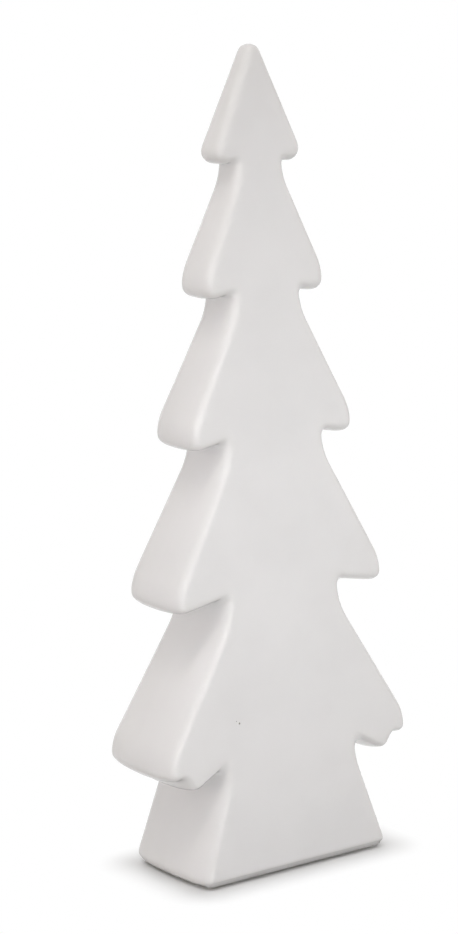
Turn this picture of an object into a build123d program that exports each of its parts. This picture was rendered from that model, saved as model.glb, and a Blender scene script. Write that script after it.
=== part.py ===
from build123d import *
from math import asin, atan2, cos, degrees, radians, sin, tan
import os

# Slip-cast ceramic christmas tree: five tiers and a trunk, thin at the top and thick at the foot.
# Millimetres, +Z up, front towards -Y, origin on the floor under the middle of the foot.

# Overall size on the pads, and each tier's share of the casting's height from the top down: the trunk has the rest
tree_height = 300.7
tree_width = 111.4
tier_shares = [0.140, 0.158, 0.178, 0.192, 0.200]

# Outline at mid-depth, where the two halves of the mould meet, with the tiers listed from the top down
upper_tip_widths = [37.4, 52.9, 73.4, 95.0]
overhangs = [8.1, 10.8, 13.7, 20.5, 23.8]
foot_flare = 12.6
hem_slope = 10.3
apex_radius = 3.4
tip_radius = 4.6
tip_bend = 19.0
neck_bend = 23.0

# Notched hem of the lowest tier: a short straight beside each tip, a step down, and a tooth that rises to the trunk
lobe_hem = 1.6
step_run = 4.4
step_drop = 6.5
tooth_slope = 28.7
tooth_radius = 4.8

# Depth of the casting, the taper that lets each half leave the mould, and the rounding of the glazed edges
base_depth = 47.5
top_depth = 8.0
mould_draft = 4.0
edge_radius = 2.7

# Inside of the casting
wall = 5.0
floor_thickness = 6.0
vent_diameter = 8.0

# Felt pads under the foot
pad_diameter = 12.0
pad_thickness = 1.2
pad_inset = 11.5

# Largest shares that a tip takes of its overhang, the rounding of the front edge's own radius,
# and the straight top of each hollow tier of the neck's bend
tip_share = 0.6
rim_share = 0.88
hollow_neck_share = 0.7

# Distance that a cutting shape is carried past the surface that it cuts
overcut = 10.0

# Widths of all the tiers, heights above the underside of the casting, and the lean of its front and back
tip_widths = upper_tip_widths + [tree_width]
neck_widths = [tip - 2 * overhang for tip, overhang in zip(tip_widths, overhangs)]
foot_width = neck_widths[-1] + 2 * foot_flare
body_height = tree_height - pad_thickness
hem_heights = [body_height * (1 - sum(tier_shares[:k + 1])) for k in range(len(tier_shares))]
lean = degrees(atan2((base_depth - top_depth) / 2, body_height))


def heading(angle):
    return Vector(cos(radians(angle)), sin(radians(angle)))


def hem_rise(run):
    return run * tan(radians(hem_slope))


def half_depth(height):
    return base_depth / 2 - height * tan(radians(lean))


def tip_radii():
    # A short overhang takes a smaller tip, so that some straight hem is left
    return [min(tip_radius, tip_share * overhang) for overhang in overhangs]


def rim_radius():
    # The rounding stays under the smallest radius that the taper leaves in the front edge
    heights = hem_heights + [body_height]
    left = [r - half_depth(z) * tan(radians(mould_draft)) for r, z in zip(tip_radii() + [apex_radius], heights)]
    return min(edge_radius, rim_share * min(left))


def turn(edge, radius, end_angle):
    # Clockwise arc that carries on from an edge until it heads at the end angle
    along = edge % 1
    return JernArc(edge @ 1, along, radius, end_angle - degrees(atan2(along.Y, along.X)))


def flank(start, start_angle, start_bend, end, end_bend):
    # Arc and straight run down one side, aimed so that the end bend then turns it to vertical at the end
    start_centre = start + heading(start_angle + 90) * start_bend
    end_centre = end - heading(0) * end_bend
    between = end_centre - start_centre
    run_angle = degrees(atan2(between.Y, between.X) + asin((start_bend + end_bend) / between.length))
    first = JernArc(start, heading(start_angle), abs(start_bend), run_angle - start_angle)
    return [first, Line(first @ 1, end_centre + heading(run_angle + 90) * end_bend)]


def plain_hem(start, notch_x):
    return [Line(start, Vector(notch_x, start.Y + hem_rise(start.X - notch_x)))]


def notched_hem(start, notch_x):
    lobe_end = start - Vector(lobe_hem, -hem_rise(lobe_hem))
    tooth = lobe_end - Vector(step_run, step_drop)
    notch = Vector(notch_x, tooth.Y + (tooth.X - notch_x) * tan(radians(tooth_slope)))
    return [Line(start, lobe_end)] + FilletPolyline(lobe_end, tooth, notch, radius=tooth_radius).edges()


def right_outline():
    edges = []
    start, angle, bend = Vector(0, body_height), 0, -apex_radius
    for hem, tip_width, neck_width, radius in zip(hem_heights, tip_widths, neck_widths, tip_radii()):
        # The top tier runs straight into its tip, the others bend to vertical first
        is_top = hem == hem_heights[0]
        edges += flank(start, angle, bend, Vector(tip_width / 2, hem + radius), radius if is_top else tip_bend)
        if not is_top:
            edges.append(turn(edges[-1], tip_bend, -90))
        edges.append(turn(edges[-1], radius, -180 - hem_slope))
        hem_edges = notched_hem if hem == hem_heights[-1] else plain_hem
        edges += hem_edges(edges[-1] @ 1, neck_width / 2)
        start, angle, bend = edges[-1] @ 1, -90, neck_bend
    edges += flank(start, angle, bend, Vector(foot_width / 2, 0), 0)
    edges.append(PolarLine(edges[-1] @ 1, overcut, direction=edges[-1] % 1))
    return edges


def closed_face(right):
    # Face between a right-hand outline, given from the top down, and its mirror image
    top, foot = right[0] @ 0, right[-1] @ 1
    edges = right + [mirror(e, Plane.YZ) for e in right]
    edges += [Line(p, Vector(-p.X, p.Y)) for p in (top, foot) if p.X > 0]
    return make_face(edges)


def front_plane(inset):
    # Plane of the front, or of a surface that lies an inset behind it
    out = Vector(0, -cos(radians(lean)), sin(radians(lean)))
    return Plane(Vector(0, -base_depth / 2, 0) - out * inset, x_dir=(1, 0, 0), z_dir=out)


def half_form():
    # Drawn at mid-depth, tapered towards the front, cut at the front and the underside, with rounded edges
    prism = extrude(Plane.XZ * closed_face(right_outline()), amount=base_depth / 2 + overcut)
    sides = prism.faces().filter_by(lambda f: abs(f.normal_at().Y) < 0.5)
    block = draft(sides, Plane.XZ, mould_draft)
    block = split(block, front_plane(0), keep=Keep.BOTTOM)
    block = split(block, Plane.XY, keep=Keep.TOP)
    rims = block.faces().sort_by(Axis.Y)[0].edges() + block.faces().sort_by(Axis.Z)[0].edges()
    rims = [e for e in dict.fromkeys(rims) if abs(e.center().Y) > 1e-3]
    return fillet(rims, rim_radius())


def wall_inset(height):
    # Wall plus what the taper takes off the outline by the time that it reaches the front
    return wall + half_depth(height) * tan(radians(mould_draft))


def hollow_outline():
    # Straight lines a wall inside the outline: the slip fills the tips and the whole top tier
    points = [Vector(neck_widths[0] / 2 - wall_inset(hem_heights[0]), hem_heights[0])]
    for k in range(1, len(tip_widths)):
        inset = wall_inset(hem_heights[k])
        tip_x, neck_x = tip_widths[k] / 2 - inset - wall, neck_widths[k] / 2 - inset
        points.append(Vector(points[-1].X, hem_heights[k - 1] - hollow_neck_share * neck_bend))
        points.append(Vector(tip_x, hem_heights[k] + inset))
        points.append(Vector(neck_x, hem_heights[k] + inset + hem_rise(tip_x - neck_x)))
    points.append(Vector(points[-1].X, hem_heights[-1] - hollow_neck_share * neck_bend))
    points.append(Vector(foot_width / 2 - 2 * wall, floor_thickness))
    return [Line(a, b) for a, b in zip(points, points[1:])]


def half_hollow():
    block = extrude(Plane.XZ * closed_face(hollow_outline()), amount=base_depth / 2)
    return split(block, front_plane(wall), keep=Keep.BOTTOM)


def cast_body():
    half = half_form() - half_hollow()
    vent = Cylinder(vent_diameter / 2, 2 * (floor_thickness + overcut))
    return Pos(0, 0, pad_thickness) * (half + mirror(half, Plane.XZ) - vent)


def felt_pad(x_side, y_side):
    x = x_side * (foot_width / 2 - pad_inset)
    y = y_side * (base_depth / 2 - pad_inset)
    align = (Align.CENTER, Align.CENTER, Align.MIN)
    return Pos(x, y, 0) * Cylinder(pad_diameter / 2, pad_thickness, align=align)


nodes = {
    "cast_body": cast_body(),
    "pad_front_left": felt_pad(-1, -1),
    "pad_front_right": felt_pad(1, -1),
    "pad_rear_left": felt_pad(-1, 1),
    "pad_rear_right": felt_pad(1, 1),
}
os.makedirs("parts", exist_ok=True)
for name, shape in nodes.items():
    export_step(shape, f"parts/{name}.step")
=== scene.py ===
import bpy
import math
import numpy as np
from mathutils import Matrix, Quaternion, Vector, noise


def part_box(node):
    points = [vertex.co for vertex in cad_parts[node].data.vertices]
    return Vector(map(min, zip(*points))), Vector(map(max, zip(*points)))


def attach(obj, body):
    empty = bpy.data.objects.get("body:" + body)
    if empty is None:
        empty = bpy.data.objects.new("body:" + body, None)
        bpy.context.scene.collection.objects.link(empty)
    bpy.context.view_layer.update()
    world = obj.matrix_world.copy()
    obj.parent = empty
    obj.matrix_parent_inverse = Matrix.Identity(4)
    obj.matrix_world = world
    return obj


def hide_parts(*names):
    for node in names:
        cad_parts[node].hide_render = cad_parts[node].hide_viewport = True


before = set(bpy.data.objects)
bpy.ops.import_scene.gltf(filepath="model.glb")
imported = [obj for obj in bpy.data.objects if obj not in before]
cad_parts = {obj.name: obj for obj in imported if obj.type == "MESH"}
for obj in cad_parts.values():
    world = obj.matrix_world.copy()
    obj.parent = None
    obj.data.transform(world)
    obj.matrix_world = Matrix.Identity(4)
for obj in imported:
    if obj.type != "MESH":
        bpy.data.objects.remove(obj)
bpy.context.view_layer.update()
scene = bpy.context.scene
scene.view_settings.view_transform = "Standard"
padNodes = sorted(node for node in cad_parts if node.startswith("pad_"))
print("frame loaded,", len(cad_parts), "nodes")


# small helpers for node trees

def newMaterial(name):
    mat = bpy.data.materials.new(name)
    mat.use_nodes = True
    mat.node_tree.nodes.clear()
    return mat, mat.node_tree


def addNode(tree, kind, **settings):
    node = tree.nodes.new(kind)
    for key, value in settings.items():
        if hasattr(node, key):
            setattr(node, key, value)
        else:
            node.inputs[key.replace("_", " ")].default_value = value
    return node


def link(tree, source, target):
    tree.links.new(source, target)


def feed(tree, value, socket):
    # a link if the value comes from a node, or else a fixed number or colour
    if hasattr(value, "is_linked"):
        link(tree, value, socket)
    else:
        socket.default_value = value


def objectPlace(tree):
    return addNode(tree, "ShaderNodeTexCoord").outputs["Object"]


def meshLayer(tree, name):
    return addNode(tree, "ShaderNodeAttribute", attribute_name=name).outputs["Fac"]


def mathNode(tree, operation, a, b, clamp=False):
    node = addNode(tree, "ShaderNodeMath", operation=operation, use_clamp=clamp)
    feed(tree, a, node.inputs[0])
    feed(tree, b, node.inputs[1])
    return node.outputs[0]


def vectorNode(tree, operation, a, b=None):
    node = addNode(tree, "ShaderNodeVectorMath", operation=operation)
    feed(tree, a, node.inputs[0])
    if b is not None:
        feed(tree, b, node.inputs[1])
    return node.outputs["Value" if operation in ("DISTANCE", "LENGTH") else "Vector"]


def rangeNode(tree, value, low, high, toLow=0.0, toHigh=1.0):
    node = addNode(tree, "ShaderNodeMapRange", interpolation_type="SMOOTHSTEP")
    for socket, number in zip(node.inputs[1:5], (low, high, toLow, toHigh)):
        socket.default_value = number
    link(tree, value, node.inputs[0])
    return node.outputs[0]


def mixColour(tree, amount, a, b):
    node = addNode(tree, "ShaderNodeMix", data_type="RGBA")
    for index, value in ((0, amount), (6, a), (7, b)):  # the colour sockets come after the number ones
        feed(tree, value, node.inputs[index])
    return node.outputs[2]


def noiseNode(tree, place, size, detail, rough=0.5):
    node = addNode(tree, "ShaderNodeTexNoise", Scale=1.0 / size, Detail=detail, Roughness=rough)
    link(tree, place, node.inputs["Vector"])
    return node.outputs["Fac"]


def bumpNode(tree, height, depth, normal=None):
    node = addNode(tree, "ShaderNodeBump", Strength=1.0, Distance=depth)
    link(tree, height, node.inputs["Height"])
    if normal is not None:
        link(tree, normal, node.inputs["Normal"])
    return node.outputs[0]


def shaderNode(tree, colour, roughness, normal, **sockets):
    shader = addNode(tree, "ShaderNodeBsdfPrincipled", **sockets)
    for name, source in (("Base Color", colour), ("Roughness", roughness), ("Normal", normal)):
        link(tree, source, shader.inputs[name])
    out = addNode(tree, "ShaderNodeOutputMaterial")
    link(tree, shader.outputs[0], out.inputs["Surface"])


def backgroundRays(tree):
    # 1 for rays that show the background: from the camera, mirrored or let through
    path = addNode(tree, "ShaderNodeLightPath")
    shown = mathNode(tree, "MAXIMUM", path.outputs["Is Camera Ray"], path.outputs["Is Glossy Ray"])
    return mathNode(tree, "MAXIMUM", shown, path.outputs["Is Transmission Ray"])


# white glaze: mottled, thinner on the edges, pooled in the notches, with a few pinholes filled with painted
# shade
glazeLook = {
    "white": (0.825, 0.805, 0.793, 1.0),
    "mottle": (0.795, 0.776, 0.764, 1.0),
    "mottleSize": 0.035,
    "mottleRange": (0.35, 0.7),     # stretch of the noise over which it sets in
    "thinEdge": (0.80, 0.775, 0.752, 1.0),
    "thinSize": 0.012,
    "thinRange": (0.3, 0.75),
    "pooled": (0.81, 0.80, 0.795, 1.0),
    "glossSize": 0.02,
    "glossRange": (0.3, 0.7),
    "roughness": (0.11, 0.18),
    "peelSize": 0.006,
    "peelDepth": 0.00002,
    "ior": 1.5,
    "coat": 0.12,
    "coatRoughness": 0.05,
    "pinholes": (  # place and radius
        ((-0.02372, -0.01992, 0.05937), 0.00046),
        ((-0.0250, -0.01986, 0.06034), 0.00022),
    ),
    # painted shade inside the pinholes: the pits are only a slight dent, so their darkness is painted on
    "pinholeShade": (0.20, 0.18, 0.17, 1.0),
    "pinholeCore": 0.4,             # share of its radius that is fully dark
    "pinholeDepth": 0.0003,
    "strayCell": 0.022,
    "strayShare": 0.04,             # share of the cells that have a stray pinhole
    "strayRadius": 0.0003,
}


def pinholeMask(tree, place, look):
    # 1 inside a pinhole: the ones that the front shows, and strays scattered over the rest
    mask = 0.0
    for spot, radius in look["pinholes"]:
        far = vectorNode(tree, "DISTANCE", place, spot)
        hole = rangeNode(tree, far, radius, radius * look["pinholeCore"])
        mask = mathNode(tree, "MAXIMUM", hole, mask)
    cells = addNode(tree, "ShaderNodeTexVoronoi", Scale=1.0 / look["strayCell"])
    link(tree, place, cells.inputs["Vector"])
    draw = addNode(tree, "ShaderNodeSeparateColor")
    link(tree, cells.outputs["Color"], draw.inputs[0])
    chosen = mathNode(tree, "LESS_THAN", draw.outputs[0], look["strayShare"])
    stray = rangeNode(tree, cells.outputs["Distance"], look["strayRadius"] / look["strayCell"], 0.0)
    return mathNode(tree, "MAXIMUM", mask, mathNode(tree, "MULTIPLY", stray, chosen))


def makeGlaze(look):
    mat, tree = newMaterial("whiteGlaze")
    place = objectPlace(tree)
    mottle = rangeNode(tree, noiseNode(tree, place, look["mottleSize"], detail=3.0), *look["mottleRange"])
    colour = mixColour(tree, mottle, look["white"], look["mottle"])
    thin = rangeNode(tree, noiseNode(tree, place, look["thinSize"], detail=3.0), *look["thinRange"])
    thin = mathNode(tree, "MULTIPLY", meshLayer(tree, "thinEdge"), thin, clamp=True)
    colour = mixColour(tree, thin, colour, look["thinEdge"])
    colour = mixColour(tree, meshLayer(tree, "glazePool"), colour, look["pooled"])
    holes = pinholeMask(tree, place, look)
    # the pinholes get their painted shade
    colour = mixColour(tree, holes, colour, look["pinholeShade"])
    gloss = noiseNode(tree, place, look["glossSize"], detail=4.0)
    rough = rangeNode(tree, gloss, *look["glossRange"], *look["roughness"])
    peel = bumpNode(tree, noiseNode(tree, place, look["peelSize"], detail=1.0), look["peelDepth"])
    dent = bumpNode(tree, mathNode(tree, "SUBTRACT", 1.0, holes), look["pinholeDepth"], peel)
    shaderNode(tree, colour, rough, dent, IOR=look["ior"], Coat_Weight=look["coat"],
               Coat_Roughness=look["coatRoughness"])
    return mat


# ground underside: bare fired clay with grit
clayLook = {
    "clay": (0.74, 0.69, 0.61, 1.0),
    "grit": (0.55, 0.49, 0.41, 1.0),
    "gritSize": 0.0008,
    "gritRange": (0.55, 0.75),
    "gritDepth": 0.0001,
    "stain": (0.82, 0.78, 0.72, 1.0),
    "stainSize": 0.02,
    "stainRange": (0.4, 0.7),
    "stainMost": 0.35,
    "roughRange": (0.3, 0.7),
    "roughness": (0.75, 0.95),
    "specular": 0.3,
}


def makeClay(look):
    mat, tree = newMaterial("bareClay")
    place = objectPlace(tree)
    grain = noiseNode(tree, place, look["gritSize"], detail=3.0, rough=0.6)
    colour = mixColour(tree, rangeNode(tree, grain, *look["gritRange"]), look["clay"], look["grit"])
    stain = noiseNode(tree, place, look["stainSize"], detail=3.0)
    stain = rangeNode(tree, stain, *look["stainRange"], 0.0, look["stainMost"])
    colour = mixColour(tree, stain, colour, look["stain"])
    rough = rangeNode(tree, grain, *look["roughRange"], *look["roughness"])
    bump = bumpNode(tree, grain, look["gritDepth"])
    shaderNode(tree, colour, rough, bump, Specular_IOR_Level=look["specular"])
    return mat


# the casting: the CAD form with pillowed sides, softened creases and the slight unevenness
# of a dipped glaze
castingShape = {
    "weldDigits": 7,
    "voxel": 0.0009,
    "soften": 5,
    "topHalf": 0.004,       # half the depth at the very top
    "crown": 0.0175,        # bulge of a side between its edges, for its depth
    "rollReach": 0.011,     # how far in from the front a side starts to roll towards it
    "rollShare": 0.55,      # and the most of the half depth that this takes
    "rollDrop": 0.10,       # drop at the edge, for that reach
    "ripple": 0.00014,
    "rippleSize": 0.045,
    "edgeRipple": 0.00009,
    "edgeRippleSize": 0.011,
    "curveSteps": 6,        # smoothing steps that show how the surface turns
    "turnSteps": 3,         # and that even out the result
    "creaseTurn": 0.35,     # turn, in voxels, that counts as a full crease
    "creaseSpread": 6,      # smoothing steps that widen a crease
    "creaseGain": 2,
    "creaseFill": 24,       # smoothing steps where glaze fills the notches
    "flatSkin": 0.0004,     # thickness of the layer that counts as the underside
    "bareTilt": -0.9,       # faces there that look down more than this are bare clay
}


def readArray(items, key, width, kind=float):
    values = np.empty(len(items) * width, kind)
    items.foreach_get(key, values)
    return values.reshape(-1, width)


def weldedCopy(node, name, digits):
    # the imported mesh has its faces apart, so its corners are joined first
    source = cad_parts[node].data
    co = readArray(source.vertices, "co", 3)
    _, first, where = np.unique(np.round(co, digits), axis=0, return_index=True, return_inverse=True)
    corners = readArray(source.loops, "vertex_index", 1, int)
    faces = where.ravel()[corners].reshape(-1, 3)
    faces = faces[np.all(faces != np.roll(faces, 1, axis=1), axis=1)]
    mesh = bpy.data.meshes.new(name)
    mesh.from_pydata(co[first].tolist(), [], faces.tolist())
    piece = bpy.data.objects.new(name, mesh)
    scene.collection.objects.link(piece)
    return piece


def evenMesh(piece, shape):
    remesh = piece.modifiers.new("even", "REMESH")
    remesh.mode = "VOXEL"
    remesh.voxel_size = shape["voxel"]
    soft = piece.modifiers.new("soft", "SMOOTH")
    soft.iterations = shape["soften"]
    made = bpy.data.meshes.new_from_object(piece.evaluated_get(bpy.context.evaluated_depsgraph_get()))
    old = piece.data
    piece.modifiers.clear()
    piece.data = made
    bpy.data.meshes.remove(old)
    return made


def neighbourMean(edges, values, steps):
    # each step goes half-way to the mean of the points next to it
    count = np.bincount(edges.ravel(), minlength=len(values)).astype(float)[:, None]
    for _ in range(steps):
        total = np.zeros_like(values)
        np.add.at(total, edges[:, 0], values[edges[:, 1]])
        np.add.at(total, edges[:, 1], values[edges[:, 0]])
        values = 0.5 * values + 0.5 * total / count
    return values


def creaseAndEdge(mesh, edges, co, shape):
    # how sharply the surface turns, from 0 to 1: in along the notches, out along the edges
    mesh.vertices.foreach_set("co", co.ravel())
    mesh.update()
    sunk = neighbourMean(edges, co, shape["curveSteps"]) - co
    bend = np.einsum("ij,ij->i", sunk, readArray(mesh.vertex_normals, "vector", 3))
    bend = neighbourMean(edges, bend[:, None], shape["turnSteps"])[:, 0]
    turn = bend / (shape["voxel"] * shape["creaseTurn"])
    return np.clip(turn, 0, 1), np.clip(-turn, 0, 1)


def pillowed(co, normal, low, high, shape):
    # each side bulges a little between its edges and rolls over towards the front and the back
    height = (co[:, 2] - low[2]) / (high[2] - low[2])
    depthAt = high[1] + (shape["topHalf"] - high[1]) * height
    share = np.clip(np.abs(co[:, 1]) / depthAt, 0, 1)
    bulge = shape["crown"] * depthAt * 4 * share * (1 - share)
    reach = np.minimum(shape["rollReach"], shape["rollShare"] * depthAt)
    roll = shape["rollDrop"] * reach * np.clip(1 - depthAt * (1 - share) / reach, 0, 1) ** 2
    return co + normal * [1, 0, 1] * (bulge - roll)[:, None]


def creasesFilled(mesh, edges, co, shape):
    crease, _ = creaseAndEdge(mesh, edges, co, shape)
    weight = neighbourMean(edges, crease[:, None], shape["creaseSpread"])
    weight = np.clip(shape["creaseGain"] * weight, 0, 1)
    for _ in range(shape["creaseFill"]):
        co = co + weight * (neighbourMean(edges, co, 1) - co)
    return co


def waves(co, size):
    return np.array([noise.noise(Vector(p) / size) for p in co])


def rippled(mesh, edges, co, normal, shape):
    # broad waves in the glaze, and short ones where it thins along the edges
    _, edge = creaseAndEdge(mesh, edges, co, shape)
    wave = shape["ripple"] * waves(co, shape["rippleSize"])
    wave += shape["edgeRipple"] * edge * waves(co, shape["edgeRippleSize"])
    return co + normal * wave[:, None]


def makeCasting(shape, glaze, clay):
    piece = weldedCopy("cast_body", "glazed_casting", shape["weldDigits"])
    mesh = evenMesh(piece, shape)
    low, high = (np.array(corner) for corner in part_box("cast_body"))
    co = readArray(mesh.vertices, "co", 3)
    normal = readArray(mesh.vertex_normals, "vector", 3)
    edges = readArray(mesh.edges, "vertices", 2, int)
    underside = co[:, 2] < low[2] + shape["flatSkin"]
    co = pillowed(co, normal, low, high, shape)
    co = creasesFilled(mesh, edges, co, shape)
    co = rippled(mesh, edges, co, normal, shape)
    co = np.clip(co, low, high)
    co[underside, 2] = low[2]

    # where the glaze pools and thins, for its material
    for name, values in zip(("glazePool", "thinEdge"), creaseAndEdge(mesh, edges, co, shape)):
        layer = mesh.attributes.new(name, "FLOAT", "POINT")
        layer.data.foreach_set("value", values)
    mesh.materials.append(glaze)
    mesh.materials.append(clay)
    down = readArray(mesh.polygons, "normal", 3)[:, 2] < shape["bareTilt"]
    lowest = readArray(mesh.polygons, "center", 3)[:, 2] < low[2] + shape["flatSkin"]
    mesh.polygons.foreach_set("material_index", (down & lowest).astype(int))
    mesh.shade_smooth()
    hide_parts("cast_body")
    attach(piece, "root")
    return piece


casting = makeCasting(castingShape, makeGlaze(glazeLook), makeClay(clayLook))
print("casting,", len(casting.data.polygons), "faces")


# felt pads: pressed discs with a soft, slightly ragged rim
feltPad = {
    "colour": (0.62, 0.60, 0.56, 1.0),
    "fibre": (0.80, 0.78, 0.74, 1.0),
    "fibreSize": 0.0007,
    "fibreStretch": (1.0, 0.35, 1.0),
    "fibreRange": (0.4, 0.65),
    "fibreDepth": 0.00025,
    "tuftSize": 0.003,
    "tuftRange": (0.35, 0.7),
    "tuftMost": 0.3,
    "roughRange": (0.3, 0.7),
    "roughness": (0.85, 1.0),
    "specular": 0.15,
    "sheen": 0.35,
    "segments": 72,
    "rings": 6,             # from the middle of a face to its rim
    "rimRadius": 0.0004,
    "rimAngles": (90, 60, 30, 0),
    "ragged": 0.00012,
    "raggedSize": 0.0012,
    "raggedLayers": 900,    # change of the raggedness with height
    "raggedPower": 4,       # keeps it near the rim
}


def makeFelt(look):
    mat, tree = newMaterial("pressedFelt")
    place = objectPlace(tree)
    stretched = addNode(tree, "ShaderNodeMapping", Scale=look["fibreStretch"])
    link(tree, place, stretched.inputs["Vector"])
    fibre = noiseNode(tree, stretched.outputs[0], look["fibreSize"], detail=4.0, rough=0.7)
    tuft = noiseNode(tree, place, look["tuftSize"], detail=3.0)
    tuft = rangeNode(tree, tuft, *look["tuftRange"], 0.0, look["tuftMost"])
    colour = mixColour(tree, rangeNode(tree, fibre, *look["fibreRange"]), look["colour"], look["fibre"])
    colour = mixColour(tree, tuft, colour, look["colour"])
    rough = rangeNode(tree, fibre, *look["roughRange"], *look["roughness"])
    bump = bumpNode(tree, fibre, look["fibreDepth"])
    shaderNode(tree, colour, rough, bump, Specular_IOR_Level=look["specular"], Sheen_Weight=look["sheen"])
    return mat


def padProfile(radius, top, look):
    # distance from the middle and height, out along the underside, up the rim and back in on top
    rim, rings = look["rimRadius"], look["rings"]
    inner = [radius * k / rings for k in range(1, rings)]
    angles = [math.radians(a) for a in look["rimAngles"]]
    profile = [(reach, 0.0) for reach in inner]
    profile += [(radius - rim + rim * math.cos(a), rim - rim * math.sin(a)) for a in angles]
    profile += [(radius - rim + rim * math.cos(a), top - rim + rim * math.sin(a)) for a in reversed(angles)]
    return profile + [(reach, top) for reach in reversed(inner)]


def makePad(node, look, material):
    low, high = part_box(node)
    centre, radius, top = (low + high) / 2, (high.x - low.x) / 2, high.z
    profile = padProfile(radius, top, look)
    n, last = look["segments"], len(profile) - 1
    points = []
    for reach, z in profile:
        for k in range(n):
            turn = 2 * math.pi * k / n
            spot = Vector((math.cos(turn), math.sin(turn), 0)) * reach
            sample = (spot + centre) / look["raggedSize"] + Vector((0, 0, z * look["raggedLayers"]))
            rag = look["ragged"] * (1 + noise.noise(sample)) * (reach / radius) ** look["raggedPower"]
            worn = 1 - rag / radius
            points.append((centre.x + spot.x * worn, centre.y + spot.y * worn, z))
    points += [(centre.x, centre.y, 0.0), (centre.x, centre.y, top)]

    def at(ring, k):
        return ring * n + k % n

    faces = [(at(i, k), at(i, k + 1), at(i + 1, k + 1), at(i + 1, k))
             for i in range(last) for k in range(n)]
    faces += [(at(0, k + 1), at(0, k), len(points) - 2) for k in range(n)]
    faces += [(at(last, k), at(last, k + 1), len(points) - 1) for k in range(n)]
    mesh = bpy.data.meshes.new("felt_" + node)
    mesh.from_pydata(points, [], faces)
    mesh.materials.append(material)
    mesh.shade_smooth()
    piece = bpy.data.objects.new("felt_" + node, mesh)
    scene.collection.objects.link(piece)
    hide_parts(node)
    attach(piece, "root")


felt = makeFelt(feltPad)
for node in padNodes:
    makePad(node, feltPad, felt)
print("felt pads,", len(padNodes))


# pale floor that turns plain white away from the tree
floorLook = {
    "size": 6.0,
    "pale": (0.88, 0.88, 0.88, 1.0),
    "cloud": (0.85, 0.85, 0.85, 1.0),
    "cloudSize": 0.08,
    "cloudRange": (0.3, 0.7),
    "bounce": (0.5, 0.5, 0.5, 1.0),   # what the floor throws back at the tree
    "shadowReach": 0.02,
}


def makeFloor(look):
    half = look["size"] / 2
    corners = [(-half, -half, 0), (half, -half, 0), (half, half, 0), (-half, half, 0)]
    mesh = bpy.data.meshes.new("floor")
    mesh.from_pydata(corners, [], [(0, 1, 2, 3)])
    mat, tree = newMaterial("paleFloor")
    place = objectPlace(tree)
    # distance past the pads, all round
    padReach = [max(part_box(node)[1][axis] for node in padNodes) for axis in (0, 1)]
    past = vectorNode(tree, "SUBTRACT", vectorNode(tree, "ABSOLUTE", place), (*padReach, 0.0))
    far = vectorNode(tree, "LENGTH", vectorNode(tree, "MAXIMUM", past, (0.0, 0.0, 0.0)))
    away = rangeNode(tree, far, 0.0, look["shadowReach"])
    shown = backgroundRays(tree)
    cloud = rangeNode(tree, noiseNode(tree, place, look["cloudSize"], detail=2.0), *look["cloudRange"])
    pale = mixColour(tree, cloud, look["pale"], look["cloud"])
    paper = addNode(tree, "ShaderNodeBsdfDiffuse")
    link(tree, mixColour(tree, shown, look["bounce"], pale), paper.inputs["Color"])
    glow = addNode(tree, "ShaderNodeEmission", Strength=1.0)
    mix = addNode(tree, "ShaderNodeMixShader")
    link(tree, mathNode(tree, "MULTIPLY", away, shown), mix.inputs[0])
    link(tree, paper.outputs[0], mix.inputs[1])
    link(tree, glow.outputs[0], mix.inputs[2])
    out = addNode(tree, "ShaderNodeOutputMaterial")
    link(tree, mix.outputs[0], out.inputs["Surface"])
    mesh.materials.append(mat)
    floor = bpy.data.objects.new("floor", mesh)
    scene.collection.objects.link(floor)


makeFloor(floorLook)
print("floor")


# a strip above the front left for the shadows under the tiers, soft fills, two windows that only
# show as streaks in the glaze, and a pale room
lightSet = {
    "ceiling": 0.414,
    "walls": 0.835,
    "roomTint": (1.0, 0.985, 0.974, 1.0),
    "plain": (1.0, 1.0, 1.0, 1.0),
    "lamps": (  # name, place, size, turn about its beam, beam angle, watts, tint
        ("highStrip", (-0.45, -0.42, 1.25), (0.6, 0.05), 43, 180, 3.25, (1.0, 0.99, 0.98)),
        ("frontPool", (-0.42, -0.85, 0.20), (0.2, 0.2), 0, 30, 0.101, (0.93, 0.965, 1.0)),
        ("leftSoft", (-1.00, -0.10, 0.30), (0.5, 0.5), 0, 180, 0.48, (1.0, 0.80, 0.74)),
        ("backSoft", (0.50, 1.05, 0.70), (0.6, 0.6), 0, 180, 4.5, (1.0, 0.99, 0.98)),
        ("sideWindow", (-1.10, -0.62, 0.62), (0.05, 0.44), 0, 180, 2.6, (1.0, 1.0, 1.0)),
        ("frontWindow", (-0.63, -1.09, 0.62), (0.05, 0.60), 0, 180, 1.2, (1.0, 1.0, 1.0)),
    ),
    "mirrored": ("sideWindow", "frontWindow"),  # the ones that the glaze shows as streaks
    "aim": (0.0, 0.0, 0.13),
}


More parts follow.
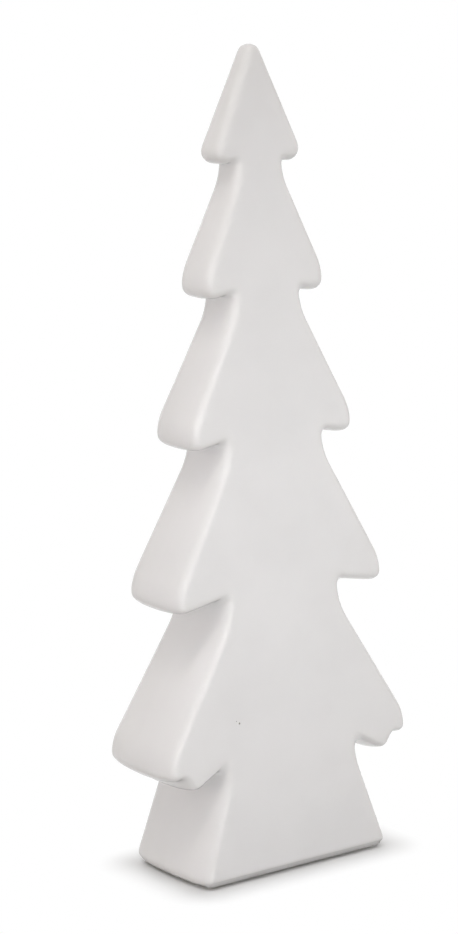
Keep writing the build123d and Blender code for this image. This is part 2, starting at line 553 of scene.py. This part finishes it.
def makeRoom(look):
    # lights the tree more from the walls than from the ceiling, and shows as plain white
    world = bpy.data.worlds.new("paleRoom")
    world.use_nodes = True
    tree = world.node_tree
    tree.nodes.clear()
    shown = backgroundRays(tree)
    rise = addNode(tree, "ShaderNodeSeparateXYZ")
    link(tree, addNode(tree, "ShaderNodeTexCoord").outputs["Generated"], rise.inputs[0])
    room = rangeNode(tree, rise.outputs["Z"], 0.0, 1.0, look["walls"], look["ceiling"])
    level = addNode(tree, "ShaderNodeMix", data_type="FLOAT", B=1.0)
    link(tree, shown, level.inputs[0])
    link(tree, room, level.inputs[2])
    back = addNode(tree, "ShaderNodeBackground")
    link(tree, mixColour(tree, shown, look["roomTint"], look["plain"]), back.inputs["Color"])
    link(tree, level.outputs[0], back.inputs["Strength"])
    out = addNode(tree, "ShaderNodeOutputWorld")
    link(tree, back.outputs[0], out.inputs["Surface"])
    scene.world = world


def makeLamps(look):
    for name, place, size, roll, beam, power, tint in look["lamps"]:
        lamp = bpy.data.lights.new(name, "AREA")
        lamp.shape = "RECTANGLE"
        lamp.size, lamp.size_y = size
        lamp.spread = math.radians(beam)
        lamp.energy = power
        lamp.color = tint
        holder = bpy.data.objects.new(name, lamp)
        holder.visible_glossy = name in look["mirrored"]
        holder.visible_diffuse = not holder.visible_glossy
        holder.location = place
        aimed = (Vector(look["aim"]) - Vector(place)).to_track_quat("-Z", "Y")
        holder.rotation_euler = (aimed @ Quaternion((0, 0, 1), math.radians(roll))).to_euler()
        scene.collection.objects.link(holder)


makeRoom(lightSet)
makeLamps(lightSet)
print("room and", len(lightSet["lamps"]), "lamps")


# camera worked out from the tree's outline in the picture
pictureView = {
    "place": (-0.5591, -0.7546, 0.3186),
    "turn": -35.95,
    "down": 10.30,
    "roll": -1.05,
    "focalPixels": 2610.0,
    "picture": (458, 934),
    "sensor": 36.0,
    "clip": (0.05, 50.0),
}


def makeCamera(look):
    turn, down, roll = (math.radians(look[key]) for key in ("turn", "down", "roll"))
    ahead = Vector((-math.sin(turn) * math.cos(down), math.cos(turn) * math.cos(down), -math.sin(down)))
    level = Vector((math.cos(turn), math.sin(turn), 0))
    upright = level.cross(ahead)
    right = level * math.cos(roll) + upright * math.sin(roll)
    up = upright * math.cos(roll) - level * math.sin(roll)
    lens = bpy.data.cameras.new("pictureCamera")
    lens.sensor_width = look["sensor"]
    lens.lens = look["focalPixels"] * look["sensor"] / max(look["picture"])
    lens.clip_start, lens.clip_end = look["clip"]
    camera = bpy.data.objects.new("pictureCamera", lens)
    turned = Matrix((right, up, -ahead)).transposed().to_4x4()
    camera.matrix_world = Matrix.Translation(look["place"]) @ turned
    scene.collection.objects.link(camera)
    scene.camera = camera


makeCamera(pictureView)
print("camera")
